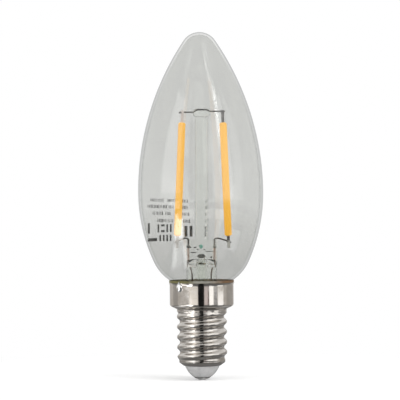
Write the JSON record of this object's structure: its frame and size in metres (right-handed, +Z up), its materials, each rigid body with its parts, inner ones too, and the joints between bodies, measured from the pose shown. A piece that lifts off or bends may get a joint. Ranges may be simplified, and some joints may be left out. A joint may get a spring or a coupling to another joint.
{
  "type": "led filament bulb",
  "caption": "Clear candle-shaped LED lamp with two upright yellow filaments on a glass stem and a narrow screw cap.",
  "frame": {"origin": "middle of the centre contact's lowest face", "axes": "+Z up the lamp's axis from cap to tip; the two filaments hang either side of the stem along X; -Y is the side with the solder joint"},
  "size_m": [0.0348, 0.0348, 0.0965],
  "materials": {
    "clear_glass": "clear, faintly grey",
    "stem_glass": "clear lead-free tubing",
    "nickel": "nickel plate, bright",
    "insulator": "light grey, satin",
    "contact_metal": "dull plated",
    "cement": "baked, olive brown",
    "solder": "frozen bright",
    "tinned_wire": "tinned",
    "lead_metal": "nickel plated wire",
    "seal_wire": "copper clad, red oxide",
    "copper": "bare copper",
    "phosphor": "silicone with yellow phosphor",
    "ceramic_strip": "white alumina",
    "led_chip": "polished crystal",
    "tab_metal": "plated strip",
    "circuit_board": "green solder mask",
    "black_moulding": "moulded epoxy",
    "capacitor_sleeve": "shrunk sleeve",
    "resistor_body": "lacquered"
  },
  "bodies": {
    "root": {"glass_envelope": "clear_glass", "stem_flare": "stem_glass", "exhaust_tube": "stem_glass", "support_column": "stem_glass", "cap_shell": "nickel", "cap_insulator": "insulator", "centre_contact": "contact_metal", "basing_cement": "cement", "side_solder": "solder", "neutral_wire": "tinned_wire", "top_bridge_wire": "lead_metal", "left_inner_lead": "lead_metal", "right_inner_lead": "lead_metal", "left_seal_wire": "seal_wire", "right_seal_wire": "seal_wire", "left_outer_lead": "copper", "right_outer_lead": "copper", "left_filament_coat": "phosphor", "right_filament_coat": "phosphor", "left_filament_strip": "ceramic_strip", "right_filament_strip": "ceramic_strip", "left_led_chips": "led_chip", "right_led_chips": "led_chip", "left_filament_top_tab": "tab_metal", "left_filament_bottom_tab": "tab_metal", "right_filament_top_tab": "tab_metal", "right_filament_bottom_tab": "tab_metal", "driver_board": "circuit_board", "bridge_rectifier": "black_moulding", "driver_chip": "black_moulding", "rectifier_pins": "tinned_wire", "driver_chip_pins": "tinned_wire", "smoothing_capacitor": "capacitor_sleeve", "capacitor_leads": "tinned_wire", "chip_resistors": "black_moulding", "fusible_resistor": "resistor_body", "fusible_resistor_leads": "tinned_wire", "board_solder_joints": "solder"}
  },
  "joints": []
}
